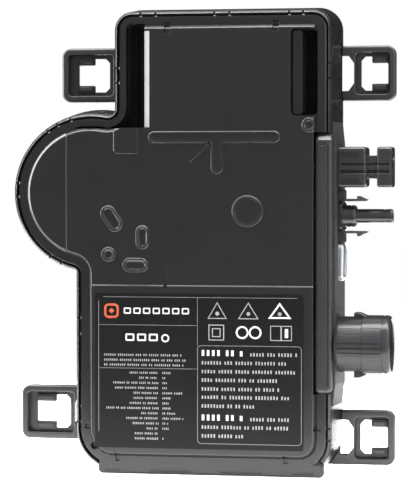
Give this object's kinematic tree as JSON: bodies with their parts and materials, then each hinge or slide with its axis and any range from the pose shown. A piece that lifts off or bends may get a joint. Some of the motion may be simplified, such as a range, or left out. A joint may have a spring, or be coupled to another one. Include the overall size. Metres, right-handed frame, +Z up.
{
  "type": "micro inverter",
  "caption": "Module-level solar micro inverter: flat black polymer box with a round bulge, four slotted ears and side connectors with spring latch arms.",
  "frame": {"origin": "centre of the bounding box in X and Y, at the bottom edge", "axes": "+X towards the connector side, +Y towards the mounting back, +Z up the long side"},
  "size_m": [0.175, 0.0302, 0.212],
  "materials": {
    "shell_black": "satin moulded polymer",
    "lid_black": "satin moulded polymer",
    "frame_black": "satin moulded polymer",
    "label_film": "matt printed film",
    "seal_rubber": "matt",
    "connector_black": "satin moulded polymer",
    "tin_plate": "tin plated",
    "clear_lens": "clear moulded polymer",
    "led_white": "gloss",
    "screw_steel": "zinc plated",
    "spreader_aluminium": "mill finish",
    "thermal_pad": "matt",
    "board_green": "solder mask",
    "chip_black": "matt",
    "ferrite": "matt ceramic",
    "copper": "enamelled copper",
    "can_blue": "sleeved",
    "film_grey": "matt",
    "terminal_green": "satin"
  },
  "bodies": {
    "root": {"ac_connector_shell": "connector_black", "ac_insert": "connector_black", "ac_lead_1": "copper", "ac_lead_2": "copper", "ac_pin_1": "tin_plate", "ac_pin_2": "tin_plate", "ac_pin_3": "tin_plate", "ac_pin_4": "tin_plate", "ac_shell_seal": "seal_rubber", "ac_terminal_block": "terminal_green", "circuit_board": "board_green", "connector_bulkhead": "shell_black", "connector_clamp_strip": "shell_black", "control_chip": "chip_black", "dc_negative_bar": "copper", "dc_plug_body": "connector_black", "dc_plug_contact": "tin_plate", "dc_plug_seal": "seal_rubber", "dc_positive_bar": "copper", "dc_socket_body": "connector_black", "dc_socket_contact": "tin_plate", "dc_socket_seal": "seal_rubber", "film_capacitor": "film_grey", "front_lid": "lid_black", "gate_driver": "chip_black", "heat_spreader": "spreader_aluminium", "housing_tray": "shell_black", "input_capacitor_1": "can_blue", "input_capacitor_2": "can_blue", "input_capacitor_3": "can_blue", "input_capacitor_4": "can_blue", "latch_lug_lower": "connector_black", "latch_lug_upper": "connector_black", "lid_seal": "seal_rubber", "line_filter_choke": "copper", "mounting_plate": "frame_black", "output_choke": "copper", "plate_screw_1": "screw_steel", "plate_screw_2": "screw_steel", "plate_screw_3": "screw_steel", "plate_screw_4": "screw_steel", "plate_screw_5": "screw_steel", "plate_screw_6": "screw_steel", "power_transistor_1": "chip_black", "power_transistor_2": "chip_black", "power_transistor_3": "chip_black", "power_transistor_4": "chip_black", "rating_label": "label_film", "signal_transformer": "ferrite", "status_led": "led_white", "status_lens": "clear_lens", "surge_varistor": "can_blue", "thermal_pad": "thermal_pad", "transformer_core": "ferrite", "transformer_winding": "copper"},
    "upper_arm": {"latch_arm_upper": "connector_black"},
    "lower_arm": {"latch_arm_lower": "connector_black"}
  },
  "joints": [
    {"name": "upper_arm_flex", "type": "hinge", "parent": "root", "child": "upper_arm", "pos_m": [0.0669, 0, 0.1245], "axis": [0, 1, 0], "range_deg": [0, 7], "stiffness_Nm_per_rad": 0.05},
    {"name": "lower_arm_flex", "type": "hinge", "parent": "root", "child": "lower_arm", "pos_m": [0.0669, 0, 0.1101], "axis": [0, -1, 0], "range_deg": [0, 7], "stiffness_Nm_per_rad": 0.05}
  ]
}
